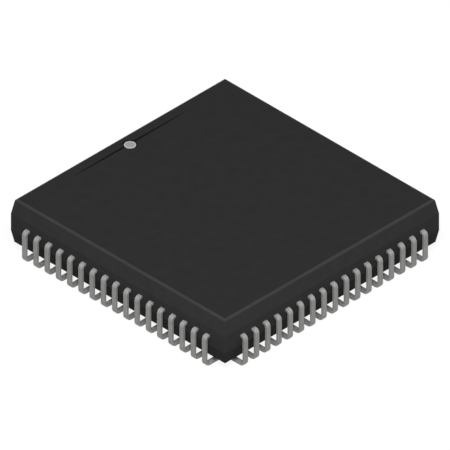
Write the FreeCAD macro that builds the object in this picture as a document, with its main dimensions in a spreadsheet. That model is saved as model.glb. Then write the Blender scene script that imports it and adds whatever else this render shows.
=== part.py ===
import FreeCAD, Part
import math
import os
import Sketcher

# Plastic leaded chip carrier with 68 J leads, 17 on each side at 1.27 mm pitch.
# Millimetres. +Z is up and z = 0 is the seating plane that the feet of the leads touch.
# +Y points to the side with the index groove and the dot of lead one.
# A lead row is drawn on the +X side and turned about Z to its own side.

SIZES = {
    # Moulded body
    "lead_pitch": (1.27, "spacing of the leads along a side"),
    "leads_per_side": (17, "leads on each of the four sides"),
    "corner_margin": (1.94, "last lead's centre line to the corner of the mid band"),
    "stand_off": (0.83, "seating plane to the underside of the body"),
    "lower_height": (1.175, "height of the lower, drafted half"),
    "band_height": (1.633, "height of the vertical mid band"),
    "upper_height": (1.392, "height of the upper, drafted half"),
    "sheet_height": (0.86, "lower edge of the mid band to the middle of the lead frame sheet"),
    "draft_angle": (10.0, "degrees that the mould faces lean in"),
    "top_edge_radius": (0.20, "round along the four top edges"),
    # Index marks
    "dimple_diameter": (1.20, "moulded dimple at the middle of the index side"),
    "dimple_depth": (0.08, "depth of the dimple below the top"),
    "dimple_inset": (1.125, "centre of the dimple to the sharp top edge, before its round"),
    "dot_clearance": (0.105, "gap around the ink dot in its dimple"),
    "dot_thickness": (0.05, "thickness of the ink dot"),
    "groove_length": (13.85, "length of the shallow index groove"),
    "groove_width": (0.21, "greatest width of the index groove, twice its depth"),
    "groove_inset": (1.055, "centre line of the groove to the sharp top edge"),
    # Leads, outside
    "lead_width": (0.43, "width of a lead"),
    "lead_thickness": (0.25, "thickness of the lead frame sheet"),
    "lead_gap": (0.225, "mid band to the inside of the vertical run"),
    "shoulder_radius": (0.18, "inside radius of the upper bend"),
    "foot_radius": (0.30, "inside radius of the lower bend"),
    "foot_flat": (1.00, "flat length of the foot on the seating plane"),
    "tip_radius": (0.30, "inside radius of the bend that turns the tip up"),
    "tip_insert": (0.35, "how far the tip reaches above the underside of the body"),
    "recess_side": (0.12, "clearance beside and over a tip in its recess"),
    "recess_travel": (0.35, "clearance on the outer side of a tip, which springs outwards"),
    # Leads, inside
    "anchor_run": (1.00, "straight run of a lead inside the mid band"),
    "finger_tip_width": (0.28, "width of a finger at its tip"),
    "finger_gap": (0.50, "die paddle to the finger tips"),
    "finger_corner": (1.00, "room left at each end of a row of tips for the tie bars"),
    # Die paddle and die
    "paddle_margin": (1.00, "edge of the die to the edge of the paddle"),
    "paddle_downset": (0.30, "how far the paddle lies below the lead plane"),
    "tie_width": (0.40, "width of a tie bar"),
    "tie_joggle": (0.80, "length of the sloping part of a tie bar"),
    "tie_lead_in": (0.50, "level run of a tie bar between paddle and slope"),
    "tie_cover": (0.60, "mould compound between a tie bar's end and the corner"),
    "bond_pad_pitch": (0.38, "spacing of the bond pads along the die"),
    "die_corner": (0.46, "last bond pad to the corner of the die"),
    "die_thickness": (0.40, "thickness of the silicon die"),
    "attach_thickness": (0.04, "thickness of the layer that holds the die"),
    # Bond wires
    "wire_thickness": (0.03, "thickness of a bond wire"),
    "wire_inset": (0.15, "edge of the die to the start of a wire"),
    "wire_rise": (0.30, "height of a wire's loop over the die"),
    "wire_lean": (0.25, "how far the top of the loop lies out from its start"),
    "wire_landing": (0.25, "finger tip to the end of the wire"),
    "wire_foot": (0.10, "length of the wire's flattened foot on the finger"),
}

# Degrees about Z from the +X side, which is the right side when the index side is at the top.
OTHER_SIDES = {
    "index_side": 90,
    "left_side": 180,
    "opposite_side": 270,
}
SIDE_COUNT = 1 + len(OTHER_SIDES)
# Flats that stand for each right-angle bend of a lead: the shoulder and the foot show, the tip does not.
SEEN_FLATS = 3
HIDDEN_FLATS = 2
RIGHT_ANGLE = 90
# Degrees that the groove's section turns through, more than it needs to run out of the body.
GROOVE_SWEEP = 10


class Size:
    """A size held both as a number and as the text that binds it to the sheet."""

    def __init__(self, value, text):
        self.value = value
        self.text = text

    def __add__(self, other):
        return combined(self, "+", other, self.value + number(other))

    def __sub__(self, other):
        return combined(self, "-", other, self.value - number(other))

    def __mul__(self, other):
        return combined(self, "*", other, self.value * number(other))

    def __truediv__(self, other):
        return combined(self, "/", other, self.value / number(other))

    def __neg__(self):
        return Size(-self.value, f"(-1 * {self.text})")


def number(item):
    """Number of a size or of a plain number."""
    return item.value if isinstance(item, Size) else item


def words(item):
    """Text of a size or of a plain number."""
    return item.text if isinstance(item, Size) else repr(item)


def combined(left, sign, right, value):
    """Size that is worked out from two others."""
    return Size(value, f"({words(left)} {sign} {words(right)})")


def tangent(angle):
    """Tangent of a size in degrees."""
    return Size(math.tan(math.radians(angle.value)), f"tan({angle.text})")


ZERO = Size(0.0, "0")


class Package:
    """Sizes from the sheet and the planes and edges that several pieces share."""

    def __init__(self):
        for name, (value, _) in SIZES.items():
            setattr(self, name, Size(value, f"Sizes.{name}"))
        self.count = int(SIZES["leads_per_side"][0])
        self.row_half = self.lead_pitch * (self.leads_per_side - 1) / 2
        self.body_half = self.row_half + self.corner_margin
        self.band_bottom = self.stand_off + self.lower_height
        self.band_top = self.band_bottom + self.band_height
        self.top = self.band_top + self.upper_height
        self.lead_plane = self.band_bottom + self.sheet_height
        self.top_half = self.body_half - self.upper_height * tangent(self.draft_angle)
        self.anchor_start = self.body_half - self.anchor_run
        self.die_half = self.bond_pad_pitch * (self.leads_per_side - 1) / 2 + self.die_corner
        self.paddle_half = self.die_half + self.paddle_margin
        self.paddle_plane = self.lead_plane - self.paddle_downset
        self.paddle_top = self.paddle_plane + self.lead_thickness / 2
        self.die_top = self.paddle_top + self.attach_thickness + self.die_thickness
        self.finger_top = self.lead_plane + self.lead_thickness / 2
        self.finger_reach = self.paddle_half + self.finger_gap
        self.tip_pitch = (self.finger_reach - self.finger_corner) * 2 / (self.leads_per_side - 1)
        self.dimple_centre = self.top_half - self.dimple_inset
        self.foot_outer = self.body_half + self.lead_gap - self.foot_radius
        self.foot_inner = self.foot_outer - self.foot_flat
        self.tip_outer = self.foot_inner - self.tip_radius

    def lead_numbers(self):
        """Places of the leads along a side, counted from its middle."""
        middle = (self.count - 1) / 2
        return [index - middle for index in range(self.count)]


def make_sheet(document):
    """Write the driving sizes into the spreadsheet, one aliased row each."""
    sheet = document.addObject("Spreadsheet::Sheet", "Sizes")
    for row, (name, (value, note)) in enumerate(SIZES.items(), start=1):
        sheet.set(f"A{row}", name)
        sheet.set(f"B{row}", str(value))
        sheet.set(f"C{row}", note)
        sheet.setAlias(f"B{row}", name)
    document.recompute()
    return sheet


def new_body(document, label, turn=0):
    """Empty body with its own label, turned about Z by whole degrees."""
    body = document.addObject("PartDesign::Body", label)
    body.Label = label
    body.AllowCompound = True
    body.Placement = FreeCAD.Placement(FreeCAD.Vector(), FreeCAD.Rotation(FreeCAD.Vector(0, 0, 1), turn))
    return body


def origin_feature(body, role):
    """Plane or axis of a body's own origin."""
    return next(feature for feature in body.Origin.OriginFeatures if feature.Role == role)


def sketch_on(body, role, name, lift=None):
    """Sketch on one of the body's origin planes, moved along that plane's normal by lift."""
    sketch = body.newObject("Sketcher::SketchObject", name)
    sketch.AttachmentSupport = [(origin_feature(body, role), "")]
    sketch.MapMode = "FlatFace"
    if lift is not None:
        sketch.AttachmentOffset = FreeCAD.Placement(FreeCAD.Vector(0, 0, lift.value), FreeCAD.Rotation())
        sketch.setExpression("AttachmentOffset.Base.z", lift.text)
    return sketch


def bind_constraint(sketch, kind, *places, size):
    """Dimension in a sketch, bound to the sheet."""
    index = sketch.addConstraint(Sketcher.Constraint(kind, *places, size.value))
    sketch.setExpression(f"Constraints[{index}]", size.text)


def draw_outlines(sketch, outlines):
    """Closed outlines of straight lines, with each corner bound to a place from the origin."""
    lines = []
    constraints = []
    bindings = {}
    for corners in outlines:
        first = len(lines)
        count = len(corners)
        points = [FreeCAD.Vector(across.value, along.value, 0) for across, along in corners]
        for index, (across, along) in enumerate(corners):
            line = first + index
            following = (index + 1) % count
            lines.append(Part.LineSegment(points[index], points[following]))
            constraints.append(Sketcher.Constraint("Coincident", line, 2, first + following, 1))
            for kind, size in (("DistanceX", across), ("DistanceY", along)):
                bindings[len(constraints)] = size.text
                constraints.append(Sketcher.Constraint(kind, -1, 1, line, 1, size.value))
    sketch.addGeometry(lines, False)
    sketch.addConstraint(constraints)
    for index, binding in bindings.items():
        sketch.setExpression(f"Constraints[{index}]", binding)


def draw_square(sketch, half):
    """Square about the origin."""
    draw_outlines(sketch, [[(-half, -half), (half, -half), (half, half), (-half, half)]])


def draw_circle(sketch, across, along, radius):
    """Circle with its centre and radius bound to the sheet."""
    centre = FreeCAD.Vector(across.value, along.value, 0)
    circle = sketch.addGeometry(Part.Circle(centre, FreeCAD.Vector(0, 0, 1), radius.value), False)
    bind_constraint(sketch, "Radius", circle, size=radius)
    bind_constraint(sketch, "DistanceX", -1, 1, circle, 3, size=across)
    bind_constraint(sketch, "DistanceY", -1, 1, circle, 3, size=along)


def pad(body, sketch, name, length, symmetric=False, reverse=False, taper=None):
    """Pad of a sketch, with an optional draft."""
    feature = body.newObject("PartDesign::Pad", name)
    feature.Profile = sketch
    feature.SideType = "Symmetric" if symmetric else "One side"
    feature.Reversed = reverse
    feature.Length = length.value
    feature.setExpression("Length", length.text)
    if taper is not None:
        feature.TaperAngle = taper.value
        feature.setExpression("TaperAngle", taper.text)
    return feature


def pocket(body, sketch, name, length, reverse=False):
    """Pocket of a sketch to a bound depth."""
    feature = body.newObject("PartDesign::Pocket", name)
    feature.Profile = sketch
    feature.Reversed = reverse
    feature.Length = length.value
    feature.setExpression("Length", length.text)
    return feature


def line_of(body, originals, name, role, length, occurrences):
    """Row of copies along one of the body's origin axes."""
    pattern = body.newObject("PartDesign::LinearPattern", name)
    pattern.Originals = originals
    pattern.Direction = (origin_feature(body, role), [""])
    pattern.Length = length.value
    pattern.setExpression("Length", length.text)
    pattern.Occurrences = int(occurrences.value)
    pattern.setExpression("Occurrences", occurrences.text)
    return pattern


def round_top_edges(document, body, base, package):
    """Round along the four edges of the top face."""
    document.recompute()
    edges = [
        f"Edge{index}"
        for index, edge in enumerate(base.Shape.Edges, start=1)
        if all(abs(vertex.Z - package.top.value) < 1e-6 for vertex in edge.Vertexes)
    ]
    fillet = body.newObject("PartDesign::Fillet", "TopEdgeRound")
    fillet.Base = (base, edges)
    fillet.Radius = package.top_edge_radius.value
    fillet.setExpression("Radius", package.top_edge_radius.text)
    return fillet


def cut_index_groove(body, package):
    """Shallow groove of 90 degree V section, cut by turning the V about an axis far above the body.

    The turned V is as deep as half its width at the middle and runs out to nothing at both ends, so its
    outline on the top face is a long thin lens.
    """
    depth = package.groove_width / 2
    centre = package.top_half - package.groove_inset
    swing = package.groove_length * package.groove_length / (depth * 8) + depth / 2
    axis_height = package.top - depth + swing
    overcut = package.groove_width
    sketch = sketch_on(body, "YZ_Plane", "IndexGrooveSection")
    draw_outlines(sketch, [[
        (centre, package.top - depth),
        (centre + depth + overcut, package.top + overcut),
        (centre - depth - overcut, package.top + overcut),
    ]])
    start = FreeCAD.Vector(centre.value, axis_height.value, 0)
    end = FreeCAD.Vector(centre.value * 2, axis_height.value, 0)
    axis = sketch.addGeometry(Part.LineSegment(start, end), True)
    sketch.addConstraint(Sketcher.Constraint("Horizontal", axis))
    bind_constraint(sketch, "DistanceY", -1, 1, axis, 1, size=axis_height)
    bind_constraint(sketch, "DistanceX", -1, 1, axis, 1, size=centre)
    bind_constraint(sketch, "DistanceX", axis, 1, axis, 2, size=centre)
    groove = body.newObject("PartDesign::Groove", "IndexGroove")
    groove.Profile = sketch
    groove.ReferenceAxis = (sketch, ["Axis0"])
    groove.Midplane = True
    groove.Angle = GROOVE_SWEEP
    return groove


def cut_dimple(body, package):
    """Round index dimple in the top face."""
    sketch = sketch_on(body, "XY_Plane", "DimpleOutline", package.top)
    draw_circle(sketch, ZERO, package.dimple_centre, package.dimple_diameter / 2)
    return pocket(body, sketch, "Dimple", package.dimple_depth)


def cut_tip_recesses(document, body, package):
    """Recess in the underside for each lead tip, repeated along a side and about the four sides."""
    inner = package.tip_outer - package.lead_thickness - package.recess_side
    outer = package.tip_outer + package.recess_travel
    half = package.lead_width / 2 + package.recess_side
    first = -package.row_half
    sketch = sketch_on(body, "XY_Plane", "TipRecessOutline", package.stand_off)
    draw_outlines(sketch, [[
        (inner, first - half),
        (outer, first - half),
        (outer, first + half),
        (inner, first + half),
    ]])
    recess = pocket(body, sketch, "TipRecess", package.tip_insert + package.recess_side, reverse=True)
    repeat = body.newObject("PartDesign::MultiTransform", "TipRecesses")
    repeat.Originals = [recess]
    row = line_of(body, [], "TipRecessRow", "Y_Axis", package.row_half * 2, package.leads_per_side)
    turn = body.newObject("PartDesign::PolarPattern", "TipRecessSides")
    turn.Axis = (origin_feature(body, "Z_Axis"), [""])
    turn.Angle = 360
    turn.Occurrences = SIDE_COUNT
    repeat.Transformations = [row, turn]
    body.Tip = repeat
    document.recompute()
    return repeat


def make_mould_block(document, package):
    """Outer form of the moulded body, before what is moulded in is taken out of it."""
    body = new_body(document, "mould_block")
    band_sketch = sketch_on(body, "XY_Plane", "BandOutline", package.band_bottom)
    draw_square(band_sketch, package.body_half)
    pad(body, band_sketch, "Band", package.band_height)
    upper_sketch = sketch_on(body, "XY_Plane", "UpperOutline", package.band_top)
    draw_square(upper_sketch, package.body_half)
    pad(body, upper_sketch, "Upper", package.upper_height, taper=-package.draft_angle)
    lower_sketch = sketch_on(body, "XY_Plane", "LowerOutline", package.band_bottom)
    draw_square(lower_sketch, package.body_half)
    lean = -package.draft_angle
    lower = pad(body, lower_sketch, "Lower", package.lower_height, reverse=True, taper=lean)
    round_top_edges(document, body, lower, package)
    cut_index_groove(body, package)
    cut_dimple(body, package)
    cut_tip_recesses(document, body, package)
    return body


def lead_profile(package):
    """Side view of one bent lead as points from the sketch's origin.

    The outer face runs from the body over the shoulder, down, round the foot and up to the tip, and the
    inner face runs back. Each bend turns a right angle about a centre that both faces share. It is drawn
    as equal flats, with each point at its radius from that centre, so 68 leads stay light.
    """
    thick = package.lead_thickness
    shoulder = package.shoulder_radius + thick
    foot = package.foot_radius + thick
    tip = package.tip_radius + thick
    shoulder_across = package.body_half + package.lead_gap - package.shoulder_radius
    tip_end = package.stand_off + package.tip_insert
    bends = [
        (shoulder_across, package.finger_top - shoulder, shoulder, RIGHT_ANGLE, SEEN_FLATS),
        (package.foot_outer, foot, foot, 0, SEEN_FLATS),
        (package.foot_inner, tip, tip, -RIGHT_ANGLE, HIDDEN_FLATS),
    ]
    outer = [(package.anchor_start, package.finger_top)]
    inner = [(package.anchor_start, package.finger_top - thick)]
    for across, up, radius, first_angle, flats in bends:
        for flat in range(flats + 1):
            angle = math.radians(first_angle - RIGHT_ANGLE * flat / flats)
            inside = radius - thick
            outer.append((across + radius * math.cos(angle), up + radius * math.sin(angle)))
            inner.append((across + inside * math.cos(angle), up + inside * math.sin(angle)))
    outer.append((package.tip_outer - thick, tip_end))
    inner.append((package.tip_outer, tip_end))
    return outer + inner[::-1]


def finger_outlines(package):
    """Plan view of the fingers of one side, from the straight run inside the mid band to the tips."""
    outlines = []
    for place in package.lead_numbers():
        root = package.lead_pitch * place
        tip = package.tip_pitch * place
        outlines.append([
            (package.finger_reach, tip - package.finger_tip_width / 2),
            (package.anchor_start, root - package.lead_width / 2),
            (package.anchor_start, root + package.lead_width / 2),
            (package.finger_reach, tip + package.finger_tip_width / 2),
        ])
    return outlines


def make_lead_row(document, package):
    """Separate leads of the +X side, each one solid from its finger at the die to its bent tip outside."""
    body = new_body(document, "right_side_leads")
    profile = sketch_on(body, "XZ_Plane", "LeadProfile", package.row_half)
    draw_outlines(profile, [lead_profile(package)])
    bent = pad(body, profile, "BentLead", package.lead_width, symmetric=True)
    row = line_of(body, [bent], "BentLeads", "Y_Axis", package.row_half * 2, package.leads_per_side)
    body.Tip = row
    fan = sketch_on(body, "XY_Plane", "FingerOutlines", package.lead_plane)
    draw_outlines(fan, finger_outlines(package))
    pad(body, fan, "Fingers", package.lead_thickness, symmetric=True)
    return body


def copies_on_other_sides(document, original, piece):
    """The same pieces on the other three sides, turned about Z."""
    copies = []
    for side, turn in OTHER_SIDES.items():
        body = new_body(document, f"{side}_{piece}", turn)
        body.BaseFeature = original
        copies.append(body)
    return copies


def make_paddle(document, package):
    """Square die paddle with four tie bars that step up to the lead plane on the way to the corners.

    The body is turned by half a right angle, so the tie bars lie along its own axes.
    """
    body = new_body(document, "die_paddle", 45)
    thick = package.lead_thickness
    corner = package.paddle_half * math.sqrt(2)
    outline = sketch_on(body, "XY_Plane", "PaddleOutline", package.paddle_plane)
    draw_outlines(outline, [[(corner, ZERO), (ZERO, corner), (-corner, ZERO), (ZERO, -corner)]])
    pad(body, outline, "Paddle", thick, symmetric=True)
    low = package.paddle_plane
    high = package.lead_plane
    slope_start = corner + package.tie_lead_in
    slope_end = slope_start + package.tie_joggle
    tie_end = package.body_half * math.sqrt(2) - package.tie_cover
    strip = sketch_on(body, "XZ_Plane", "TieBarProfile")
    draw_outlines(strip, [[
        (corner - package.tie_width, low - thick / 2),
        (slope_start, low - thick / 2),
        (slope_end, high - thick / 2),
        (tie_end, high - thick / 2),
        (tie_end, high + thick / 2),
        (slope_end, high + thick / 2),
        (slope_start, low + thick / 2),
        (corner - package.tie_width, low + thick / 2),
    ]])
    tie = pad(body, strip, "TieBar", package.tie_width, symmetric=True)
    ties = body.newObject("PartDesign::PolarPattern", "TieBars")
    ties.Originals = [tie]
    ties.Axis = (origin_feature(body, "Z_Axis"), [""])
    ties.Angle = 360
    ties.Occurrences = SIDE_COUNT
    body.Tip = ties
    return body


def make_square_plate(document, label, half, bottom, thickness):
    """Square layer that lies on what is below it."""
    body = new_body(document, label)
    sketch = sketch_on(body, "XY_Plane", f"{label}_outline", bottom)
    draw_square(sketch, half)
    pad(body, sketch, f"{label}_layer", thickness)
    return body


def make_wire_row(document, package):
    """Bond wires of the +X side: the loop seen from the side, common with the strips seen from above."""
    start = package.die_half - package.wire_inset
    end = package.finger_reach + package.wire_landing
    peak = package.die_top + package.wire_rise
    loop_body = new_body(document, "wire_loop")
    loop = sketch_on(loop_body, "XZ_Plane", "LoopProfile")
    draw_outlines(loop, [[
        (start, package.die_top),
        (start + package.wire_thickness, package.die_top),
        (start + package.wire_lean, peak - package.wire_thickness),
        (end - package.wire_foot, package.finger_top),
        (end, package.finger_top),
        (start + package.wire_lean, peak),
    ]])
    pad(loop_body, loop, "LoopBand", package.finger_reach * 2, symmetric=True)
    plan_body = new_body(document, "wire_plan")
    plan = sketch_on(plan_body, "XY_Plane", "StripOutlines", package.finger_top)
    spread = (package.lead_pitch - package.tip_pitch) / (package.anchor_start - package.finger_reach)
    landing_pitch = package.tip_pitch + spread * package.wire_landing
    half = package.wire_thickness / 2
    strips = []
    for place in package.lead_numbers():
        near = package.bond_pad_pitch * place
        far = landing_pitch * place
        strips.append([(start, near - half), (end, far - half), (end, far + half), (start, near + half)])
    draw_outlines(plan, strips)
    pad(plan_body, plan, "Strips", peak - package.finger_top + package.wire_thickness)
    wires = document.addObject("Part::Common", "right_side_wires")
    wires.Label = "right_side_wires"
    wires.Base = plan_body
    wires.Tool = loop_body
    return wires


def make_dot(document, package):
    """Pale ink dot on the floor of the index dimple."""
    body = new_body(document, "pin_one_dot")
    sketch = sketch_on(body, "XY_Plane", "DotOutline", package.top - package.dimple_depth)
    radius = package.dimple_diameter / 2 - package.dot_clearance
    draw_circle(sketch, ZERO, package.dimple_centre, radius)
    pad(body, sketch, "Dot", package.dot_thickness)
    return body


def make_moulded_body(document, block, moulded_in):
    """Mould compound around everything that is moulded in."""
    filling = document.addObject("Part::Compound", "moulded_in")
    filling.Links = moulded_in
    body = document.addObject("Part::Cut", "moulded_body")
    body.Label = "moulded_body"
    body.Base = block
    body.Tool = filling
    return body


def check_document(document, pieces):
    """Stop before anything is written if an object failed or a shape is not sound."""
    for item in document.Objects:
        if "Invalid" in item.State or "Error" in item.State:
            raise RuntimeError(f"{item.Label} did not build: {item.State}")
    for piece in pieces:
        if piece.Shape.isNull() or not piece.Shape.isValid():
            raise RuntimeError(f"{piece.Label} has no sound shape")


def write_pieces(pieces):
    """Write one STEP file for each piece, named after its label."""
    os.makedirs("parts", exist_ok=True)
    for piece in pieces:
        piece.Shape.exportStep(f"parts/{piece.Label}.step")
        solids = piece.Shape.Solids
        print(f"{piece.Label}: {len(solids)} solids, {piece.Shape.Volume:.4f} cubic mm")


def main():
    """Build the document, check it and write its pieces."""
    document = FreeCAD.newDocument("ChipCarrier")
    make_sheet(document)
    package = Package()
    block = make_mould_block(document, package)
    leads = make_lead_row(document, package)
    all_leads = [leads, *copies_on_other_sides(document, leads, "leads")]
    wires = make_wire_row(document, package)
    all_wires = [wires, *copies_on_other_sides(document, wires, "wires")]
    paddle = make_paddle(document, package)
    attach = make_square_plate(
        document, "die_attach", package.die_half, package.paddle_top, package.attach_thickness
    )
    die_bottom = package.paddle_top + package.attach_thickness
    die = make_square_plate(document, "silicon_die", package.die_half, die_bottom, package.die_thickness)
    dot = make_dot(document, package)
    moulded_in = [*all_leads, paddle, attach, die, *all_wires]
    body = make_moulded_body(document, block, moulded_in)
    document.recompute()
    pieces = [body, *moulded_in, dot]
    check_document(document, pieces)
    write_pieces(pieces)


main()
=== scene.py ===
"""Plastic leaded chip carrier: black moulded body, four rows of J leads, index dot and index groove.

Every length in this file is in metres and is written as millimetres times MM. The row frame has its origin
in the middle of the seating plane, +Z up and +Y towards the side with the index dot.
"""

import logging
import math
from dataclasses import dataclass, field
from enum import Enum

import bpy
import numpy as np
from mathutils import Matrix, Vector

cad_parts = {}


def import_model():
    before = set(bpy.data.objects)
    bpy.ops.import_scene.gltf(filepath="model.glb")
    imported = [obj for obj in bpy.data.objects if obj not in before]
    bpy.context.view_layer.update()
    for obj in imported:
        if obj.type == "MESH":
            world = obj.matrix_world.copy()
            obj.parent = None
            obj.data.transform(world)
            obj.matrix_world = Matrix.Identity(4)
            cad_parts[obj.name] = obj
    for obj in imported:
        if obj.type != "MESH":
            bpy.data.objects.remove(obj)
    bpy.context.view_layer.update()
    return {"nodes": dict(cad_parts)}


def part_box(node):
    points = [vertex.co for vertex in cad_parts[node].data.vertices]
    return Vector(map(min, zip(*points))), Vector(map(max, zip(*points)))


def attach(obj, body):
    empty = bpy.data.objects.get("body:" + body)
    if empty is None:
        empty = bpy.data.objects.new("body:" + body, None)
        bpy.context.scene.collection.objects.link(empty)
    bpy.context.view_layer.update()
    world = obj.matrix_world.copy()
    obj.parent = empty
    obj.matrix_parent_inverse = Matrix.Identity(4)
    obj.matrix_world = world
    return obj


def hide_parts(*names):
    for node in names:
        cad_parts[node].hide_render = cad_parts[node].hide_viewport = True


MM = 0.001
# Middle part of the values that one noise texture gives, and that two of them multiplied give.
NOISE_RANGE = (0.3, 0.7)
TWO_NOISES_RANGE = (0.12, 0.42)
# Layers of ever finer detail in the clouds of a finish and in its grain.
CLOUD_DETAIL = 3.0
GRAIN_DETAIL = 4.0
# Sockets of the Mix node that carry colours: its two inputs and its output.
MIX_FIRST = 6
MIX_SECOND = 7
MIX_RESULT = 2
LOG = logging.getLogger("chip_carrier")


class Side(Enum):
    """The four sides, each with its quarter turns about Z from the +X side."""

    RIGHT = 0
    INDEX = 1
    LEFT = 2
    OPPOSITE = 3

    @property
    def word(self) -> str:
        """Name of the side as the frame's nodes use it."""
        return f"{self.name.lower()}_side"


def linear_colour(code: str) -> tuple[float, float, float, float]:
    """Turn an sRGB hex code into linear red, green, blue and a full alpha.

    A channel c of at most 0.04045 becomes c / 12.92, and a higher one becomes (c + 0.055) / 1.055 to the
    power of 2.4, as the sRGB standard says.

    Args:
        code: Colour as #rrggbb.

    Returns:
        Four numbers from 0 to 1.
    """
    channels = [int(code[place:place + 2], 16) / 255 for place in (1, 3, 5)]
    red, green, blue = (c / 12.92 if c <= 0.04045 else ((c + 0.055) / 1.055) ** 2.4 for c in channels)
    return red, green, blue, 1.0


def per_size(millimetres: float) -> float:
    """Turn a size into a texture scale, which is one over that size in metres.

    Args:
        millimetres: Size of the features.

    Returns:
        The scale that gives features of about this size.
    """
    return 1.0 / (millimetres * MM)


def add_node(
    tree: bpy.types.NodeTree,
    kind: str,
    values: dict[str | int, object] | None = None,
    links: dict[str | int, bpy.types.NodeSocket] | None = None,
    **settings: object,
) -> bpy.types.Node:
    """Add one node with its settings, socket values and incoming links.

    Args:
        tree: Node tree that gets the node.
        kind: Type name of the node.
        values: Input name or index, and the value that it holds.
        links: Input name or index, and the output that feeds it.
        **settings: Properties of the node itself.

    Returns:
        The new node.
    """
    node = tree.nodes.new(kind)
    for name, setting in settings.items():
        setattr(node, name, setting)
    for socket, value in (values or {}).items():
        node.inputs[socket].default_value = value
    for socket, source in (links or {}).items():
        tree.links.new(source, node.inputs[socket])
    return node


def empty_material(name: str) -> tuple[bpy.types.Material, bpy.types.NodeTree, bpy.types.NodeSocket]:
    """Make a material with an empty tree that has only object coordinates.

    Args:
        name: Name of the material.

    Returns:
        The material, its node tree and the output that gives object coordinates.
    """
    material = bpy.data.materials.new(name)
    material.use_nodes = True
    tree = material.node_tree
    tree.nodes.clear()
    coordinates = add_node(tree, "ShaderNodeTexCoord")
    return material, tree, coordinates.outputs["Object"]


@dataclass(frozen=True)
class Finish:
    """A surface finish of one real material with a fine irregular grain.

    The grain varies the colour between two tones and the roughness between two values, and its height
    is a small bump.

    Attributes:
        name: Name of the material.
        dark: Darker tone as #rrggbb.
        light: Lighter tone as #rrggbb.
        roughness: Lowest and highest roughness.
        grain_mm: Size of the grain.
        grain_height_mm: Height of the grain.
        metallic: Share of bare metal.
        specular: Strength of the gloss, 0.5 for a common polymer.
        mottle_mm: Size of the soft clouds in the colour.
    """

    name: str
    dark: str
    light: str
    roughness: tuple[float, float]
    grain_mm: float
    grain_height_mm: float
    metallic: float = 0.0
    specular: float = 0.5
    mottle_mm: float = 1.0

    @staticmethod
    def spread(
        tree: bpy.types.NodeTree,
        value: bpy.types.NodeSocket,
        before: tuple[float, float],
        after: tuple[float, float],
    ) -> bpy.types.NodeSocket:
        """Stretch a value from one range to another, and hold it at the ends.

        Args:
            tree: Node tree of the material.
            value: Output that gives the value.
            before: Range that the value fills.
            after: Range that it is stretched to.

        Returns:
            The output that gives the stretched value.
        """
        ends = {"From Min": before[0], "From Max": before[1], "To Min": after[0], "To Max": after[1]}
        return add_node(tree, "ShaderNodeMapRange", ends, {"Value": value}).outputs["Result"]

    def material(self) -> bpy.types.Material:
        """Build the material.

        Returns:
            A material whose colour, roughness and bump come from noise at real sizes.
        """
        material, tree, place = empty_material(self.name)
        mottle, grain = (
            add_node(
                tree, "ShaderNodeTexNoise", {"Scale": per_size(size), "Detail": detail}, {"Vector": place}
            ).outputs["Fac"]
            for size, detail in ((self.mottle_mm, CLOUD_DETAIL), (self.grain_mm, GRAIN_DETAIL))
        )
        blend = add_node(tree, "ShaderNodeMath", {}, {0: mottle, 1: grain}, operation="MULTIPLY")
        colour = add_node(
            tree,
            "ShaderNodeMix",
            {MIX_FIRST: linear_colour(self.dark), MIX_SECOND: linear_colour(self.light)},
            {0: self.spread(tree, blend.outputs[0], TWO_NOISES_RANGE, (0.0, 1.0))},
            data_type="RGBA",
        )
        bump = add_node(
            tree,
            "ShaderNodeBump",
            {"Strength": 1.0, "Distance": self.grain_height_mm * MM},
            {"Height": grain},
        )
        shader = add_node(
            tree,
            "ShaderNodeBsdfPrincipled",
            {"Metallic": self.metallic, "Specular IOR Level": self.specular},
            {
                "Base Color": colour.outputs[MIX_RESULT],
                "Roughness": self.spread(tree, grain, NOISE_RANGE, self.roughness),
                "Normal": bump.outputs["Normal"],
            },
        )
        add_node(tree, "ShaderNodeOutputMaterial", {}, {"Surface": shader.outputs[0]})
        return material


# Epoxy mould compound, moulded against a spark-eroded steel face: a dull black with a fine even grain,
# painted a shade darker on the top face than on the flanks as painted shade against the strong light from
# above. The real grain is about 0.03 mm, and is drawn four times as coarse so that it shows. The grain of
# every finish below is drawn coarser than the real one for the same reason.
SHADED_TOP_FACE = Finish("textured_mould_compound_painted_shade", "#222222", "#262626", (0.5, 0.65), 0.12, 0.004, specular=0.01)
# The same compound on the upper flanks, drafted and moulded against steel that is polished for release, so it
# is smoother. It is a shade lighter than the top face and the lower flanks only because those are painted
# darker as painted shade.
FLANK = Finish("drafted_mould_compound", "#2b2b2b", "#2f2f2f", (0.45, 0.6), 0.12, 0.002, specular=0.01)
# The same compound, painted a shade darker as painted shade where it faces down, away from the light. It
# covers the lower flanks, the underside and the recesses in it.
SHADED_LOWER_FLANK = Finish("lower_mould_compound_painted_shade", "#272727", "#2b2b2b", (0.45, 0.6), 0.12, 0.002, specular=0.01)
# The same compound on the mid band, where the two halves of the mould met and the flash was trimmed away.
TRIMMED_BAND = Finish("trimmed_mould_compound", "#2b2b2b", "#2f2f2f", (0.55, 0.7), 0.12, 0.003, specular=0.01)
# The same compound on the rounded top edges, which the trays and sockets rub smooth and glossy, and painted a
# shade lighter as a painted highlight.
RUBBED_EDGE_AND_HIGHLIGHT = Finish("rubbed_mould_compound_painted_highlight", "#2e2e2e", "#323232", (0.3, 0.38), 0.12, 0.001, specular=0.04)
# The same compound where a milled and polished rib of the mould forms the groove: smooth, and painted near
# black as painted shade in the groove.
SHADED_GROOVE_WALL = Finish("groove_mould_compound_painted_shade", "#0c0c0c", "#101010", (0.3, 0.4), 0.12, 0.0005, specular=0.02)
# The same compound where a lapped mould pin forms the dimple: the smoothest face, painted deepest black as
# painted shade in the dimple.
SHADED_DIMPLE_WALL = Finish("dimple_mould_compound_painted_shade", "#060606", "#090909", (0.3, 0.4), 0.12, 0.0005, specular=0.01)
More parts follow.
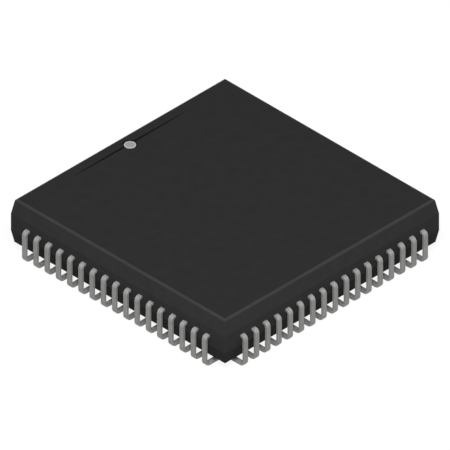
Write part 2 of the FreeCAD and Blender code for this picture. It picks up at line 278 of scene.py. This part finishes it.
# Matte tin, electroplated on copper alloy: a satin grey with a soft, cloudy sheen. Its fine crystals scatter
# most of the light, so only a small share of it is drawn as bare metal.
TIN_PLATING = Finish(
    "matte_tin_plating",
    "#787876",
    "#848482",
    (0.28, 0.36),
    0.08,
    0.002,
    metallic=0.05,
    specular=0.25,
    mottle_mm=0.4,
)
# Marking ink, stamped wet into the dimple and cured flat: chalky, with a slightly uneven film.
MARKING_INK = Finish("marking_ink", "#797979", "#878787", (0.6, 0.75), 0.06, 0.003, specular=0.2)
# The same ink on the raised rim, drawn in a lighter tone.
LIGHTER_RIM_INK = Finish("marking_ink_lighter_rim", "#969696", "#a2a2a2", (0.5, 0.65), 0.06, 0.003, specular=0.2)
# Copper alloy sheet, rolled, stamped and left bare inside the body.
BARE_COPPER = Finish("rolled_copper_alloy", "#b87a58", "#c88a66", (0.25, 0.4), 0.05, 0.001, metallic=1.0)
# Silver-filled epoxy, dispensed and cured: dull and pale.
SILVER_EPOXY = Finish("silver_filled_epoxy", "#a8a8a6", "#bcbcba", (0.45, 0.6), 0.05, 0.002)
# Silicon, polished on its upper side: dark with a blue cast and nearly a mirror.
SILICON = Finish("polished_silicon", "#30323c", "#3a3d4a", (0.08, 0.14), 0.2, 0.0002, specular=0.9)
# Gold wire, drawn: smooth and bright.
GOLD_WIRE = Finish("drawn_gold_wire", "#e0b040", "#ecc052", (0.15, 0.25), 0.02, 0.0005, metallic=1.0)


def new_piece(name: str, mesh: bpy.types.Mesh) -> bpy.types.Object:
    """Put a mesh into the scene as an object at the origin.

    Args:
        name: Name of the object.
        mesh: Mesh that it shows.

    Returns:
        The new object.
    """
    piece = bpy.data.objects.new(name, mesh)
    bpy.context.scene.collection.objects.link(piece)
    return piece


def on_grid(shape: tuple[int, ...], *parts: np.ndarray) -> np.ndarray:
    """Spread three coordinates over one grid and join them.

    Args:
        shape: Shape of the grid.
        *parts: The x, y and z coordinates, each of any shape that spreads to the grid's.

    Returns:
        An array of the grid's shape with the coordinate as one more, last axis.
    """
    return np.stack([np.broadcast_to(part, shape) for part in parts], axis=-1)


def grid_faces(rings: int, points: int) -> np.ndarray:
    """Quads between neighbouring rings of a grid that closes on itself around each ring.

    Face (i, j) joins points j and j + 1 of ring i to the same points of ring i + 1, with j + 1 counted
    round to 0 at the end.

    Args:
        rings: Number of rings.
        points: Number of points in each ring.

    Returns:
        An array of four vertex numbers a face, wound so that rings that run anticlockwise about the
        direction from ring to ring face outwards.
    """
    ring, point = np.meshgrid(np.arange(rings - 1), np.arange(points), indexing="ij")
    following = (point + 1) % points
    low, high = ring * points, (ring + 1) * points
    return np.stack([low + point, low + following, high + following, high + point], axis=-1).reshape(-1, 4)


def closed_tube(name: str, grids: np.ndarray, outward: np.ndarray | None = None) -> bpy.types.Mesh:
    """Mesh of closed tubes, each a grid of rings with a flat cap at both ends.

    Args:
        name: Name of the mesh.
        grids: Array of tubes by rings by points by three coordinates.
        outward: Exact outward direction of the surface at each point, where flats and rounds share
            points. Without it the shading is averaged.

    Returns:
        The mesh, smooth but for its caps.
    """
    tubes, rings, points, _ = grids.shape
    quads = grid_faces(rings, points)
    first_cap = np.arange(points)[::-1]
    last_cap = np.arange(points) + (rings - 1) * points
    starts = np.arange(tubes) * rings * points
    sides = (starts[:, None, None] + quads).reshape(-1, 4).tolist()
    caps = (starts[:, None, None] + np.stack([first_cap, last_cap])).reshape(-1, points).tolist()
    mesh = bpy.data.meshes.new(name)
    mesh.from_pydata(grids.reshape(-1, 3), [], sides + caps)
    smooth = np.ones(len(mesh.polygons), dtype=bool)
    smooth[len(sides):] = False
    mesh.polygons.foreach_set("use_smooth", smooth)
    mesh.update()
    if outward is not None:
        corners = np.empty(len(mesh.loops), dtype=np.int32)
        mesh.loops.foreach_get("vertex_index", corners)
        facing = np.empty(len(mesh.polygons) * 3)
        mesh.polygons.foreach_get("normal", facing)
        directions = outward.reshape(-1, 3)[corners]
        directions[quads.size * tubes:] = np.repeat(facing.reshape(-1, 3)[len(sides):], points, axis=0)
        mesh.normals_split_custom_set(directions.tolist())
    return mesh


def rounded_corners(corners: list[tuple[float, float, float]], steps: int) -> tuple[np.ndarray, np.ndarray]:
    """Round the inner corners of an open outline in a plane.

    A corner of turn t and radius r starts its arc r * tan(t / 2) before the corner. Points on the arc lie
    at the arc's centre plus r times a unit spoke, turned evenly by t. The way along the outline there is
    the spoke turned by a quarter.

    Args:
        corners: Two coordinates and the radius of each corner. The first and last radius are not used.
        steps: Number of steps in each arc.

    Returns:
        An array of points by two coordinates, and the unit way along the outline at each point.
    """
    points = [np.array(corners[0][:2])]
    ways = []
    share = np.linspace(0.0, 1.0, steps + 1)
    for before, here, after in zip(corners, corners[1:], corners[2:]):
        corner = np.array(here[:2])
        way_in = corner - np.array(before[:2])
        way_out = np.array(after[:2]) - corner
        way_in /= np.linalg.norm(way_in)
        way_out /= np.linalg.norm(way_out)
        turn = math.atan2(way_in[0] * way_out[1] - way_in[1] * way_out[0], float(way_in @ way_out))
        radius = here[2]
        hand = math.copysign(1.0, turn)
        first_spoke = np.array([way_in[1], -way_in[0]]) * hand
        centre = corner - way_in * radius * math.tan(abs(turn) / 2) - first_spoke * radius
        angle = math.atan2(first_spoke[1], first_spoke[0]) + turn * share
        spokes = np.stack([np.cos(angle), np.sin(angle)], axis=-1)
        points.extend(centre + radius * spokes)
        ways.extend(hand * np.stack([-spokes[:, 1], spokes[:, 0]], axis=-1))
    points.append(np.array(corners[-1][:2]))
    return np.array(points), np.array([ways[0], *ways, ways[-1]])


@dataclass
class MouldedBody:
    """The black moulded body with its dimple, groove and tip recesses.

    Attributes:
        low: Lowest corner of the CAD body.
        high: Highest corner of the CAD body.
        lower_height: Height of the drafted half below the mid band.
        upper_height: Height of the drafted half above the mid band.
        draft: Slope of both halves.
        top_edge_radius: Round of the four top edges.
        band_edge_radius: Round of the mid band's edges.
        bottom_edge_radius: Round of the four edges of the underside.
        upright_edge_radius: Round of the four corners.
        rim_width: Width of the ring of faces round the flat top and underside.
        arc_steps: Number of faces in each round.
        dimple_radius: Radius of the index dimple.
        dimple_depth: Depth of the dimple.
        dimple_inset: Distance of the dimple's centre from the top edge.
        dimple_steps: Number of faces round the dimple.
        groove_length: Length of the index groove.
        groove_width: Width of the groove at the top face, in its middle.
        groove_floor: Width of the groove's floor, in its middle.
        groove_depth: Depth of the groove, in its middle.
        groove_inset: Distance of the groove from the top edge.
        groove_steps: Number of faces along the groove.
        overcut: How far a cutter stands above the face that it cuts.
    """

    low: Vector
    high: Vector
    lower_height: float = 1.175 * MM
    upper_height: float = 1.392 * MM
    draft: float = math.radians(10.0)
    top_edge_radius: float = 0.20 * MM
    band_edge_radius: float = 0.05 * MM
    bottom_edge_radius: float = 0.06 * MM
    upright_edge_radius: float = 0.03 * MM
    rim_width: float = 1.00 * MM
    arc_steps: int = 6
    dimple_radius: float = 0.60 * MM
    dimple_depth: float = 0.08 * MM
    dimple_inset: float = 1.125 * MM
    dimple_steps: int = 64
    groove_length: float = 13.85 * MM
    groove_width: float = 0.21 * MM
    groove_floor: float = 0.15 * MM
    groove_depth: float = 0.11 * MM
    groove_inset: float = 1.055 * MM
    groove_steps: int = 48
    overcut: float = 0.3 * MM

    @property
    def top_half(self) -> float:
        """Half width of the top face, out to its edge before the round."""
        return self.high.x - self.upper_height * math.tan(self.draft)

    @property
    def bottom_half(self) -> float:
        """Half width of the underside, out to its edge before the round."""
        return self.high.x - self.lower_height * math.tan(self.draft)

    def outer_surface(self) -> bpy.types.Mesh:
        """Mesh of the body's outer form, a vertical profile carried round a square with rounded corners.

        The profile gives each ring its half width a and its height. A ring's point is the corner centre
        at (a - r) on both axes, with the signs of its quarter, plus r times the cosine and sine of its
        angle, so every ring keeps the same small corner radius r.

        Returns:
            A closed mesh, flat on its large faces and smooth on its rounds.
        """
        band_bottom = self.low.z + self.lower_height
        band_top = self.high.z - self.upper_height
        profile, _ = rounded_corners(
            [
                (self.bottom_half - self.rim_width, self.low.z, 0.0),
                (self.bottom_half, self.low.z, self.bottom_edge_radius),
                (self.high.x, band_bottom, self.band_edge_radius),
                (self.high.x, band_top, self.band_edge_radius),
                (self.top_half, self.high.z, self.top_edge_radius),
                (self.top_half - self.rim_width, self.high.z, 0.0),
            ],
            self.arc_steps,
        )
        half, height = profile[:, 0], profile[:, 1]
        quarter = np.repeat(np.arange(4), self.arc_steps + 1)
        angle = (quarter + np.tile(np.linspace(0.0, 1.0, self.arc_steps + 1), 4)) * math.pi / 2
        sign_x = np.array([1, -1, -1, 1])[quarter]
        sign_y = np.array([1, 1, -1, -1])[quarter]
        radius = self.upright_edge_radius
        straight = (half - radius)[:, None]
        across = sign_x * straight + radius * np.cos(angle)
        along = sign_y * straight + radius * np.sin(angle)
        mesh = closed_tube("moulded_form", on_grid(across.shape, across, along, height[:, None])[None])
        self.flatten_large_faces(mesh)
        self.dress(mesh, heights=height, around=len(angle))
        return mesh

    def dress(self, mesh: bpy.types.Mesh, heights: np.ndarray, around: int) -> None:
        """Give each band of faces its finish.

        A ring of faces takes its finish from its middle height. The top face and the lower flanks get painted
        shade, and the rounded top edges a painted highlight. The last ring is the rim of the top face, and
        the caps come last in the mesh, the underside's before the top's.

        Args:
            mesh: Mesh of the outer form.
            heights: Height of each ring of points, from the underside to the top.
            around: Number of faces in each ring.
        """
        finishes = [SHADED_LOWER_FLANK, TRIMMED_BAND, FLANK, RUBBED_EDGE_AND_HIGHLIGHT, SHADED_TOP_FACE]
        upwards = [SHADED_LOWER_FLANK, TRIMMED_BAND, FLANK, RUBBED_EDGE_AND_HIGHLIGHT]
        limits = [
            self.low.z + self.lower_height,
            self.high.z - self.upper_height,
            self.high.z - self.top_edge_radius * (1 - math.sin(self.draft)),
        ]
        middle = (heights[1:] + heights[:-1]) / 2
        band = np.array([finishes.index(finish) for finish in upwards])[np.searchsorted(limits, middle)]
        band[-1] = finishes.index(SHADED_TOP_FACE)
        caps = [finishes.index(SHADED_LOWER_FLANK), finishes.index(SHADED_TOP_FACE)]
        for finish in finishes:
            mesh.materials.append(finish.material())
        indices = np.concatenate([np.repeat(band, around), caps])
        mesh.polygons.foreach_set("material_index", indices.astype(np.int32))

    def flatten_large_faces(self, mesh: bpy.types.Mesh) -> None:
        """Shade every face flat that has more than twice the area of the widest strip of a round.

        Such a strip is as long as the body, and at most its radius divided by its number of steps wide.

        Args:
            mesh: Mesh of the outer form.
        """
        areas = np.empty(len(mesh.polygons))
        mesh.polygons.foreach_get("area", areas)
        widest_strip = self.top_edge_radius / self.arc_steps * 2 * self.high.x
        mesh.polygons.foreach_set("use_smooth", areas < 2 * widest_strip)

    def groove_cutter(self) -> bpy.types.Mesh:
        """Mesh that cuts the index groove, a shallow channel that runs out at both ends.

        At a place x the share is s = 1 - (2 x / length) ** 2. The channel's floor lies s times the depth
        below the top face and is s times the floor width wide. At the top face it is s times the full width
        wide, so its steep sides keep their slope.

        Returns:
            A closed mesh that stands above the top face by the overcut.
        """
        across = np.linspace(-0.5, 0.5, self.groove_steps + 1)[1:-1] * self.groove_length
        share = 1 - (2 * across / self.groove_length) ** 2
        centre = self.top_half - self.groove_inset
        floor = share * self.groove_floor / 2
        slope = (self.groove_width - self.groove_floor) / (2 * self.groove_depth)
        rim = share * self.groove_width / 2 + slope * self.overcut
        low = self.high.z - share * self.groove_depth
        high = np.full_like(across, self.high.z + self.overcut)
        along = np.stack([centre - floor, centre + floor, centre + rim, centre - rim], axis=-1)
        up = np.stack([low, low, high, high], axis=-1)
        return closed_tube("groove_cutter", on_grid(up.shape, across[:, None], along, up)[None])

    def dimple_cutter(self) -> bpy.types.Mesh:
        """Mesh of the cylinder that cuts the index dimple.

        Returns:
            A closed mesh that stands above the top face by the overcut.
        """
        angle = np.linspace(0.0, 2 * math.pi, self.dimple_steps, endpoint=False)
        across = self.dimple_radius * np.cos(angle)
        along = self.top_half - self.dimple_inset + self.dimple_radius * np.sin(angle)
        heights = np.array([self.high.z - self.dimple_depth, self.high.z + self.overcut])[:, None]
        shape = (len(heights), self.dimple_steps)
        return closed_tube("dimple_cutter", on_grid(shape, across, along, heights)[None])

    def cut(self, piece: bpy.types.Object, cutter_mesh: bpy.types.Mesh, finish: bpy.types.Material) -> None:
        """Take a cutter's volume out of a piece for good.

        Args:
            piece: Piece that is cut.
            cutter_mesh: Closed mesh of what goes.
            finish: Material of the new faces.
        """
        cutter_mesh.materials.append(finish)
        cutter = new_piece("cutter", cutter_mesh)
        modifier = piece.modifiers.new("cut", "BOOLEAN")
        modifier.operation = "DIFFERENCE"
        modifier.solver = "EXACT"
        modifier.material_mode = "TRANSFER"
        modifier.object = cutter
        graph = bpy.context.evaluated_depsgraph_get()
        result = bpy.data.meshes.new_from_object(piece.evaluated_get(graph))
        piece.modifiers.clear()
        piece.data = result
        bpy.data.objects.remove(cutter)

    def build(self, leads: "LeadShape") -> bpy.types.Object:
        """Make the body, cut its marks and recesses, and dress it.

        Args:
            leads: Shape of the leads, which gives the recesses their places.

        Returns:
            The finished piece.
        """
        piece = new_piece("moulded_package", self.outer_surface())
        # The groove's new faces get the near-black material of painted shade.
        self.cut(piece, self.groove_cutter(), SHADED_GROOVE_WALL.material())
        # The dimple's new faces get the deepest black, painted shade.
        self.cut(piece, self.dimple_cutter(), SHADED_DIMPLE_WALL.material())
        for side in Side:
            # The recesses take the lower flanks' material, with its painted shade.
            self.cut(piece, leads.recess_cutters(self.low.z, side), piece.data.materials[0])
        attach(piece, "root")
        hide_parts("moulded_body")
        return piece


@dataclass
class LeadShape:
    """One J lead as a strip with rounded stamped edges, carried from its finger tip to its bent tip.

    Attributes:
        low: Lowest corner of the CAD leads of the +X side.
        high: Highest corner of the CAD leads of the +X side.
        face: Distance from the middle to the body's mid band.
        body_bottom: Height of the body's underside.
        count: Number of leads on a side.
        width: Width of the strip.
        tip_width: Width of the strip at its finger tip, inside the body.
        thickness: Thickness of the strip.
        edge_radius: Round that stamping leaves on the strip's edges.
        shoulder_radius: Inside radius of the bend out of the body.
        foot_radius: Inside radius of the lower bend.
        foot_flat: Length of the flat foot.
        tip_radius: Inside radius of the bend up into the body.
        tip_insert: How far the tip reaches into its recess.
        anchor_run: How far the strip runs straight inside the body.
        finger_corner: How much nearer the middle the outermost finger tip lies than the row's inner end.
        recess_side: Clearance round a tip in its recess.
        recess_travel: Clearance behind a tip, for its spring travel.
        bend_steps: Number of faces along each bend.
        edge_steps: Number of faces across each edge.
        support: Distance from a bend to the points that keep its shading off the straight stretches.
    """

    low: Vector
    high: Vector
    face: float
    body_bottom: float
    count: int = 17
    width: float = 0.43 * MM
    tip_width: float = 0.28 * MM
    thickness: float = 0.25 * MM
    edge_radius: float = 0.035 * MM
    shoulder_radius: float = 0.18 * MM
    foot_radius: float = 0.30 * MM
    foot_flat: float = 1.00 * MM
    tip_radius: float = 0.30 * MM
    tip_insert: float = 0.35 * MM
    anchor_run: float = 1.00 * MM
    finger_corner: float = 1.00 * MM
    recess_side: float = 0.12 * MM
    recess_travel: float = 0.35 * MM
    bend_steps: int = 10
    edge_steps: int = 3
    support: float = 0.03 * MM

    @property
    def pitch(self) -> float:
        """Spacing of the leads."""
        return (self.high.y - self.low.y - self.width) / (self.count - 1)

    @property
    def places(self) -> np.ndarray:
        """Number of each lead, counted from the middle of its side."""
        return np.arange(self.count) - (self.count - 1) / 2

    @property
    def tip_place(self) -> float:
        """Distance from the middle to the upright tip's centre line."""
        outer_bend = self.foot_radius + self.thickness
        tip_bend = self.tip_radius + self.thickness / 2
        return self.high.x - outer_bend - self.foot_flat - tip_bend

    def centre_line(self) -> tuple[np.ndarray, np.ndarray]:
        """Side view of the strip's middle surface, from the mid band's anchor to the tip.

        It is a run of straight stretches with arcs of the inside radius plus half the thickness. Each
        straight stretch has two more points close to its ends, so that the smooth shading of the bends
        stops there.

        Returns:
            An array of points by distance from the middle and height, and the unit way along the strip
            at each point.
        """
        half = self.thickness / 2
        outer = self.high.x - half
        level = self.high.z - half
        tip_end = self.body_bottom + self.tip_insert
        points, ways = rounded_corners(
            [
                (self.face - self.anchor_run, level, 0.0),
                (outer, level, self.shoulder_radius + half),
                (outer, half, self.foot_radius + half),
                (self.tip_place, half, self.tip_radius + half),
                (self.tip_place, tip_end, 0.0),
            ],
            self.bend_steps,
        )
        shape = (-1, self.bend_steps + 1, 2)
        line, line_ways = [points[:1]], [ways[:1]]
        for arc, way in zip(points[1:-1].reshape(shape), ways[1:-1].reshape(shape)):
            line.extend([arc[:1] - way[:1] * self.support, arc, arc[-1:] + way[-1:] * self.support])
            line_ways.extend([way[:1], way, way[-1:]])
        return np.concatenate([*line, points[-1:]]), np.concatenate([*line_ways, ways[-1:]])

    def section(self) -> tuple[np.ndarray, np.ndarray]:
        """Rounded rectangle of the strip's full-width section.

        A corner's points lie at its centre plus the edge radius times a unit spoke, and the spoke is
        also the way out of the surface there.

        Returns:
            An array of points by sideways and upward coordinate, anticlockwise as seen looking back along
            the strip, and the unit spoke of each.
        """
        half_width, half_thick, radius = self.width / 2, self.thickness / 2, self.edge_radius
        corners = [
            (half_width - radius, half_thick - radius, 0),
            (radius - half_width, half_thick - radius, 1),
            (radius - half_width, radius - half_thick, 2),
            (half_width - radius, radius - half_thick, 3),
        ]
        turn = np.linspace(0.0, 1.0, self.edge_steps + 1)
        outline, spokes = [], []
        for centre_side, centre_up, quarter in corners:
            angle = (quarter + turn) * math.pi / 2
            spoke = np.stack([np.cos(angle), np.sin(angle)], axis=-1)
            outline.append(np.array([centre_side, centre_up]) + radius * spoke)
            spokes.append(spoke)
        return np.concatenate(outline), np.concatenate(spokes)

    def row_grids(self) -> tuple[np.ndarray, np.ndarray]:
        """All leads of the +X side as grids of rings.

        A ring's point is the centre line's point, plus the section's upward coordinate along the centre
        line's normal, plus the lead's own place and the section's sideways coordinate along Y. Inside
        the body the place and the width run in a straight line down to those of the finger tip. The way
        out of the surface is the section's spoke, laid out along Y and the centre line's normal.

        Returns:
            An array of leads by rings by points by three coordinates, and the way out at each point.
        """
        line, way = self.centre_line()
        line = np.concatenate([[(self.low.x, line[0, 1])], line])
        way = np.concatenate([way[:1], way])
        normal = np.stack([-way[:, 1], way[:, 0]], axis=-1)
        (sideways, upward), (spoke_side, spoke_up) = (part.T for part in self.section())
        width = np.ones(len(line))
        width[0] = self.tip_width / self.width
        spacing = np.full(len(line), self.pitch)
        spacing[0] = 2 * (self.low.x - self.finger_corner) / (self.count - 1)
        away = line[:, 0, None] + normal[:, 0, None] * upward
        up = line[:, 1, None] + normal[:, 1, None] * upward
        side = self.places[:, None, None] * spacing[None, :, None] + (width[:, None] * sideways)[None]
        outward = (normal[:, 0, None] * spoke_up, spoke_side, normal[:, 1, None] * spoke_up)
        return on_grid(side.shape, away, side, up), on_grid(side.shape, *outward)

    def recess_cutters(self, underside: float, side: Side) -> bpy.types.Mesh:
        """Mesh of the blocks that cut the tip recesses of one side.

        Args:
            underside: Height of the body's underside.
            side: Side whose recesses are cut.

        Returns:
            Closed blocks that reach from just under the underside to a clearance over the tips.
        """
        inner = self.tip_place - self.thickness / 2 - self.recess_side
        outer = self.tip_place + self.thickness / 2 + self.recess_travel
        half = self.width / 2 + self.recess_side
        below = underside - self.recess_side
        above = underside + self.tip_insert + self.recess_side
        across = np.array([inner, outer, outer, inner])
        along = self.places[:, None, None] * self.pitch + np.array([-half, -half, half, half])
        heights = np.array([below, above])[:, None]
        shape = (self.count, len(heights), len(across))
        return closed_tube("recess_cutters", turned(on_grid(shape, across, along, heights), side))


def turned(points: np.ndarray, side: Side) -> np.ndarray:
    """Turn points from the +X side to another side.

    A quarter turn about Z sends (x, y) to (-y, x), and it is repeated as often as the side asks.

    Args:
        points: Array whose last axis is x, y and z.
        side: Side that the points go to.

    Returns:
        The turned points.
    """
    angle = side.value * math.pi / 2
    cosine, sine = round(math.cos(angle)), round(math.sin(angle))
    return points @ np.array([[cosine, sine, 0], [-sine, cosine, 0], [0, 0, 1]])


@dataclass
class LeadRows:
    """The four rows of leads.

    Attributes:
        shape: Shape of one lead and of its row.
    """

    shape: LeadShape

    def build(self) -> list[bpy.types.Object]:
        """Make one piece for each side.

        Returns:
            The four rows.
        """
        plating = TIN_PLATING.material()
        grids, outward = self.shape.row_grids()
        rows = []
        for side in Side:
            strips = closed_tube(f"{side.word}_strips", turned(grids, side), turned(outward, side))
            row = new_piece(f"{side.word}_j_leads", strips)
            row.data.materials.append(plating)
            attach(row, "root")
            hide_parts(f"{side.word}_leads")
            rows.append(row)
        return rows


@dataclass
class IndexDot:
    """The ink dot in the index dimple, with the thicker rim that a drying film leaves.

    Attributes:
        low: Lowest corner of the CAD dot.
        high: Highest corner of the CAD dot.
        rim_share: Width of the rim as a share of the radius.
        film_share: Thickness of the film inside the rim as a share of the rim's.
        middle_share: Radius of the flat face in the middle as a share of the dot's.
        steps: Number of rings of faces.
        points: Number of points round each ring.
    """

    low: Vector
    high: Vector
    rim_share: float = 0.2
    film_share: float = 0.72
    middle_share: float = 0.02
    steps: int = 24
    points: int = 64

    def build(self) -> bpy.types.Object:
        """Make the dot by turning its height profile about its axis.

        At a share q of the radius the height is that of the film, plus a rim that rises as the sine of
        the way across the rim's width, so it stands highest at the rim's middle and falls to the edge.
        The rim's rings of faces get the lighter ink, and the rest the thin film.

        Returns:
            The finished piece.
        """
        radius = (self.high.x - self.low.x) / 2
        thickness = self.high.z - self.low.z
        share = np.concatenate([[1.0], np.linspace(1.0, self.middle_share, self.steps)])
        rim = np.clip((share - (1 - self.rim_share)) / self.rim_share, 0.0, 1.0)
        height = thickness * (self.film_share + (1 - self.film_share) * np.sin(rim * math.pi))
        height[0] = 0.0
        angle = np.linspace(0.0, 2 * math.pi, self.points, endpoint=False)
        centre = (self.low + self.high) / 2
        across = centre.x + radius * share[:, None] * np.cos(angle)
        along = centre.y + radius * share[:, None] * np.sin(angle)
        up = (self.low.z + height)[:, None]
        mesh = closed_tube("ink_film", on_grid(across.shape, across, along, up)[None])
        for finish in (MARKING_INK, LIGHTER_RIM_INK):
            mesh.materials.append(finish.material())
        lighter_rim = (share[1:] + share[:-1]) / 2 > 1 - self.rim_share
        bottom_and_middle = [0, 0]
        indices = np.concatenate([np.repeat(lighter_rim, self.points), bottom_and_middle])
        mesh.polygons.foreach_set("material_index", indices.astype(np.int32))
        dot = new_piece("index_ink_dot", mesh)
        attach(dot, "root")
        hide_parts("pin_one_dot")
        return dot


@dataclass
class InnerParts:
    """The pieces that are moulded in. Their CAD shapes stay and only get their real finishes.

    Attributes:
        nodes: The frame's objects by the names of their nodes.
        finishes: Finish of each inner node.
    """

    nodes: dict[str, bpy.types.Object]
    finishes: dict[str, Finish] = field(
        default_factory=lambda: {
            "die_paddle": BARE_COPPER,
            "die_attach": SILVER_EPOXY,
            "silicon_die": SILICON,
            **{f"{side.word}_wires": GOLD_WIRE for side in Side},
        }
    )

    def dress(self) -> list[bpy.types.Object]:
        """Give each inner piece its material.

        Returns:
            The dressed pieces.
        """
        materials = {finish.name: finish.material() for finish in set(self.finishes.values())}
        dressed = []
        for name, finish in self.finishes.items():
            piece = self.nodes[name]
            piece.data.materials.clear()
            piece.data.materials.append(materials[finish.name])
            dressed.append(piece)
        return dressed


@dataclass(frozen=True)
class SoftLight:
    """One square soft light that faces the object.

    Attributes:
        name: Name of the light.
        azimuth: Degrees about Z, 0 in front of the -Y side and 90 in front of the +X side.
        elevation: Degrees above the floor.
        size: Side of the square.
        level: Share of the level at which a colour renders as it is written.
        distance: Distance from the row frame's origin.
    """

    name: str
    azimuth: float
    elevation: float
    size: float
    level: float
    distance: float = 300.0 * MM

    def hang(self) -> None:
        """Put the light into the scene.

        A lamp of power p at a distance d gives a surface that faces it p / (pi * d * d) of light. At pi of
        light a colour renders as it is written, so the power for a level of 1 is pi * pi * d * d.
        """
        light = bpy.data.lights.new(self.name, "AREA")
        light.shape = "SQUARE"
        light.size = self.size
        light.energy = math.pi * math.pi * self.distance * self.distance * self.level
        turn, rise = math.radians(self.azimuth), math.radians(self.elevation)
        way = Vector((math.sin(turn) * math.cos(rise), -math.cos(turn) * math.cos(rise), math.sin(rise)))
        lamp = bpy.data.objects.new(self.name, light)
        lamp.location = way * self.distance
        lamp.rotation_mode = "QUATERNION"
        lamp.rotation_quaternion = (-way).to_track_quat("-Z", "Y")
        bpy.context.scene.collection.objects.link(lamp)


# The key light stands over the camera, and a low one under it lights the leads' sides. Two lights fill the
# left and the right, and two low ones reach the hidden sides.
LIGHTS = (
    SoftLight("high_front_light", azimuth=-45.0, elevation=51.0, size=160.0 * MM, level=1.33),
    SoftLight("low_front_light", azimuth=-45.0, elevation=15.0, size=120.0 * MM, level=0.32),
    SoftLight("left_light", azimuth=-135.0, elevation=35.0, size=120.0 * MM, level=0.1),
    SoftLight("right_light", azimuth=45.0, elevation=35.0, size=120.0 * MM, level=0.1),
    SoftLight("low_right_light", azimuth=80.0, elevation=20.0, size=120.0 * MM, level=0.35),
    SoftLight("low_left_light", azimuth=-170.0, elevation=20.0, size=120.0 * MM, level=0.35),
)


@dataclass
class Studio:
    """Pale floor, soft lights and a camera at the photograph's isometric angle.

    Attributes:
        image_width: Width of the picture in pixels.
        pixels_per_millimetre: Scale of the picture across the camera's view.
        aim_height: Height above the floor that the camera looks at.
        camera_distance: Distance from the camera to that point.
        nearest_seen: Distance from the camera at which the view begins.
        floor_half: Half the side of the floor.
        floor_colour: Colour of the floor as it takes light and shadow.
        floor_glow: What a ray that sees the floor gets besides, so that the floor shows as white.
        room_level: Level at which the room lights the object.
    """

    image_width: int = 450
    pixels_per_millimetre: float = 12.522
    aim_height: float = 2.495 * MM
    camera_distance: float = 200.0 * MM
    nearest_seen: float = 1.0 * MM
    floor_half: float = 400.0 * MM
    floor_colour: str = "#5c5c5c"
    floor_glow: float = 0.88
    room_level: float = 0.1

    def seen_rays(self, tree: bpy.types.NodeTree) -> bpy.types.NodeSocket:
        """Tell the rays that see a backdrop, directly or in a shiny or clear surface, from those that light.

        Args:
            tree: Node tree of the floor or the world.

        Returns:
            The output that is 1 for a ray that sees, and 0 for one that carries light to the object.
        """
        ray = add_node(tree, "ShaderNodeLightPath")
        seen = ray.outputs["Is Camera Ray"]
        for kind in ("Is Glossy Ray", "Is Transmission Ray"):
            rays = {0: seen, 1: ray.outputs[kind]}
            seen = add_node(tree, "ShaderNodeMath", {}, rays, operation="MAXIMUM").outputs[0]
        return seen

    def floor(self) -> None:
        """Lay the floor: a pale sheet that is seen as white and keeps its shadow."""
        half = self.floor_half
        corners = [(-half, -half, 0.0), (half, -half, 0.0), (half, half, 0.0), (-half, half, 0.0)]
        mesh = bpy.data.meshes.new("floor_sheet")
        mesh.from_pydata(corners, [], [(0, 1, 2, 3)])
        floor = new_piece("floor", mesh)
        material = bpy.data.materials.new("white_paper")
        material.use_nodes = True
        tree = material.node_tree
        tree.nodes.clear()
        seen = self.seen_rays(tree)
        strength = add_node(tree, "ShaderNodeMath", {1: self.floor_glow}, {0: seen}, operation="MULTIPLY")
        paper = add_node(tree, "ShaderNodeBsdfDiffuse", {"Color": linear_colour(self.floor_colour)})
        glow = add_node(tree, "ShaderNodeEmission", {}, {"Strength": strength.outputs[0]})
        both = add_node(tree, "ShaderNodeAddShader", {}, {0: paper.outputs[0], 1: glow.outputs[0]})
        add_node(tree, "ShaderNodeOutputMaterial", {}, {"Surface": both.outputs[0]})
        mesh.materials.append(material)

    def world(self) -> None:
        """Put a white room round the floor, which lights far less than it shows.

        The strength is the room's own level, plus what is left up to 1 for a ray that sees it.
        """
        world = bpy.data.worlds.new("soft_room")
        world.use_nodes = True
        tree = world.node_tree
        tree.nodes.clear()
        strength = add_node(
            tree,
            "ShaderNodeMath",
            {1: 1.0 - self.room_level, 2: self.room_level},
            {0: self.seen_rays(tree)},
            operation="MULTIPLY_ADD",
        )
        white = add_node(
            tree,
            "ShaderNodeBackground",
            {"Color": linear_colour("#ffffff")},
            {"Strength": strength.outputs[0]},
        )
        add_node(tree, "ShaderNodeOutputWorld", {}, {"Surface": white.outputs[0]})
        bpy.context.scene.world = world

    def camera(self) -> None:
        """Set the orthographic camera on the diagonal of the corner between the -X and -Y sides."""
        data = bpy.data.cameras.new("isometric")
        data.type = "ORTHO"
        data.ortho_scale = self.image_width / self.pixels_per_millimetre * MM
        data.clip_start = self.nearest_seen
        data.clip_end = self.camera_distance + 2 * self.floor_half
        way = Vector((-1.0, -1.0, 1.0)).normalized()
        camera = bpy.data.objects.new("isometric", data)
        camera.location = Vector((0.0, 0.0, self.aim_height)) + way * self.camera_distance
        camera.rotation_mode = "QUATERNION"
        camera.rotation_quaternion = (-way).to_track_quat("-Z", "Y")
        bpy.context.scene.collection.objects.link(camera)
        bpy.context.scene.camera = camera

    def build(self) -> None:
        """Set up the whole studio."""
        self.floor()
        self.world()
        for light in LIGHTS:
            light.hang()
        self.camera()
        bpy.context.scene.view_settings.view_transform = "Standard"


def main() -> None:
    """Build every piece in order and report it."""
    logging.basicConfig(level=logging.INFO, format="%(message)s")
    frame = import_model()
    body_low, body_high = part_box("moulded_body")
    lead_low, lead_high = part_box("right_side_leads")
    leads = LeadShape(lead_low, lead_high, body_high.x, body_low.z)
    body = MouldedBody(body_low, body_high).build(leads)
    rows = LeadRows(leads).build()
    dot = IndexDot(*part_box("pin_one_dot")).build()
    inner = InnerParts(frame["nodes"]).dress()
    for piece in [body, *rows, dot, *inner]:
        LOG.info("%s: %d faces", piece.name, len(piece.data.polygons))
    Studio().build()


if __name__ == "__main__":
    main()
